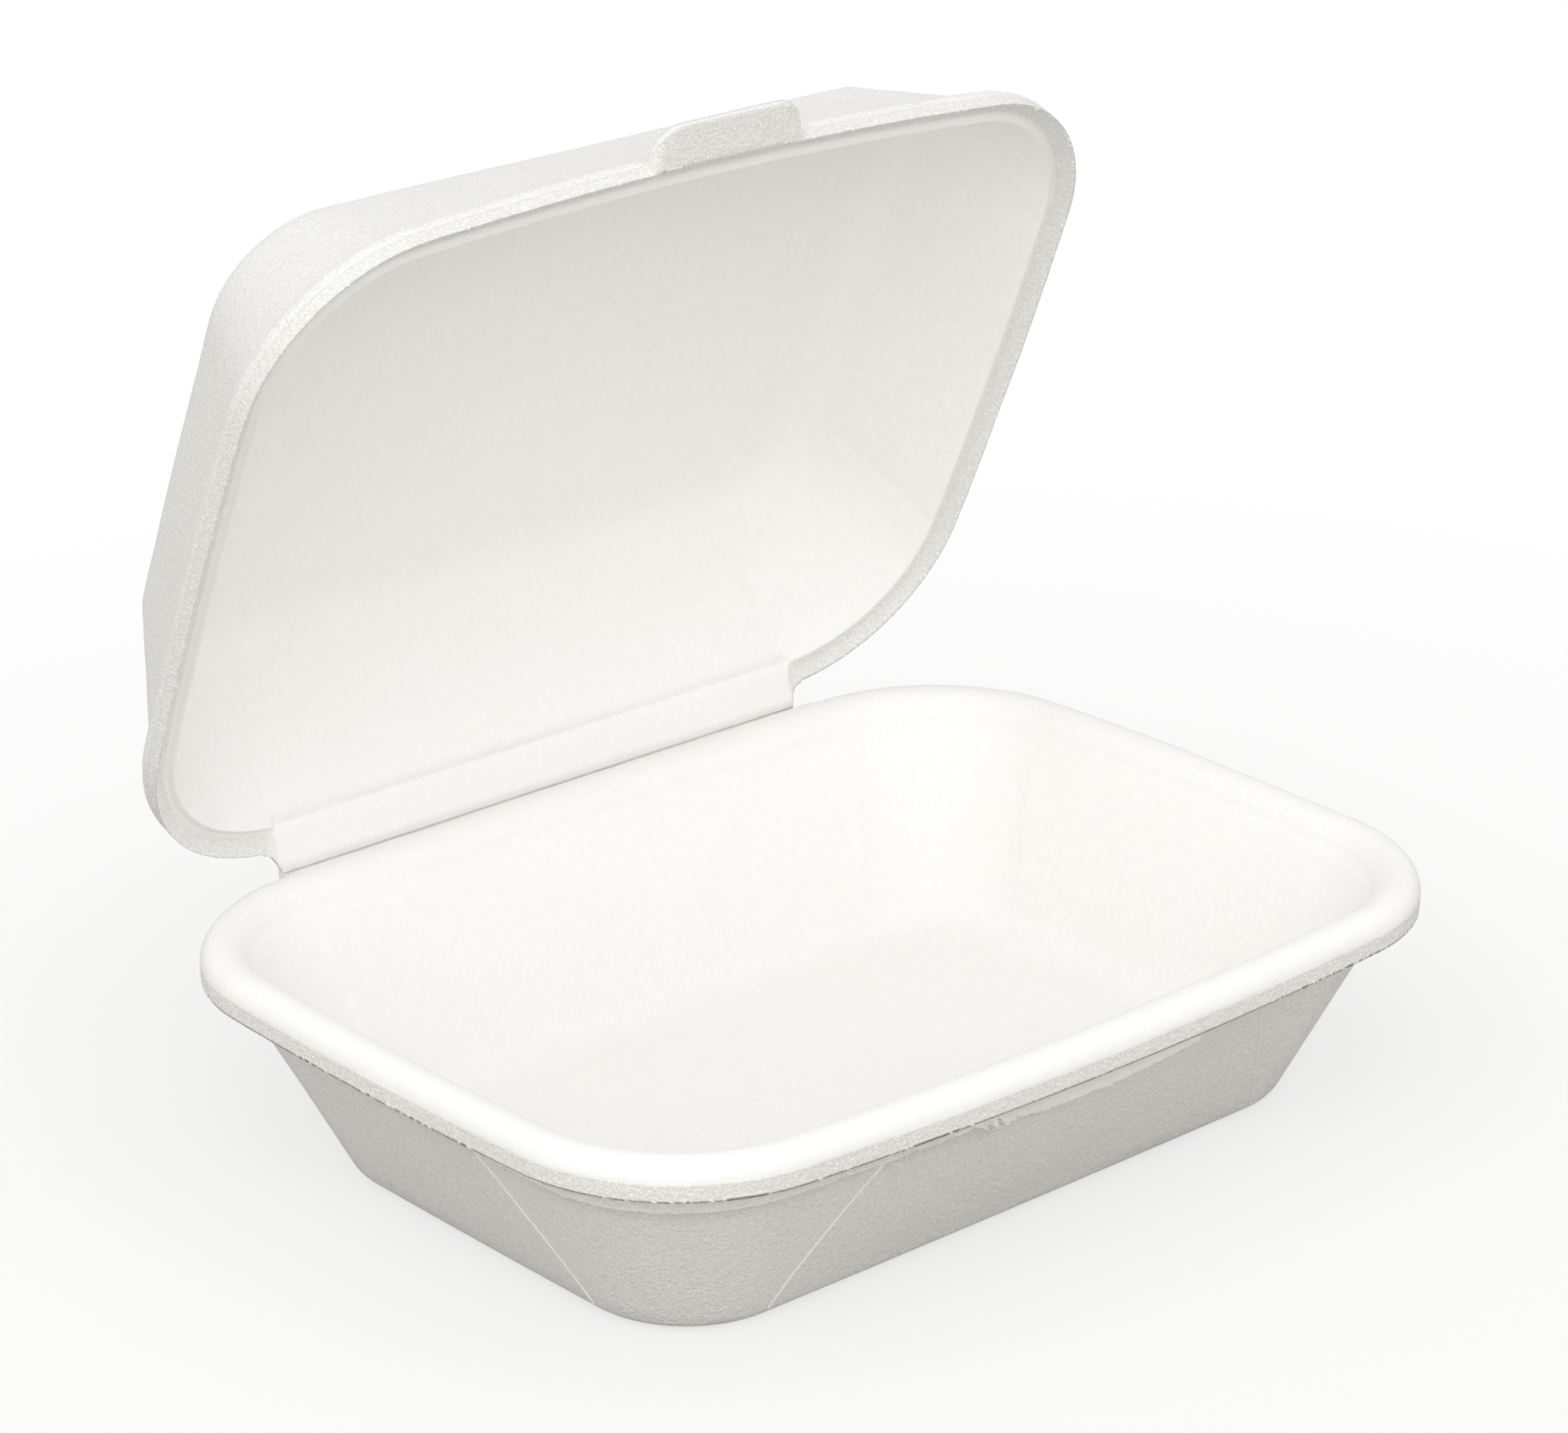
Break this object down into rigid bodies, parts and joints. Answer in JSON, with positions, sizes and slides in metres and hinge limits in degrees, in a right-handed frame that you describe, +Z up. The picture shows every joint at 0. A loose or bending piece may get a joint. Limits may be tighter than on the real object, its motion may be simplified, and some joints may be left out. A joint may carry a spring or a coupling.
{
  "type": "foam clamshell food container",
  "caption": "Hinged food container thermoformed from foam sheet: a deep tray and a domed lid with rolled rims, joined by a living hinge, with a latch tab and slit.",
  "frame": {"origin": "centre of the tray's flat bottom, on the surface that it stands on", "axes": "+X runs along the hinge, +Y points to the back where the hinge is, -Y to the front with the latch, +Z up"},
  "size_m": [0.185, 0.1609, 0.1662],
  "materials": {
    "foam": "matte white foam"
  },
  "bodies": {
    "tray": {"tray": "foam"},
    "lid": {"lid": "foam"}
  },
  "joints": [
    {"name": "lid_hinge", "type": "hinge", "parent": "tray", "child": "lid", "pos_m": [0, 0.0705, 0.0365], "axis": [-1, 0, 0], "range_deg": [-67, 113]}
  ]
}
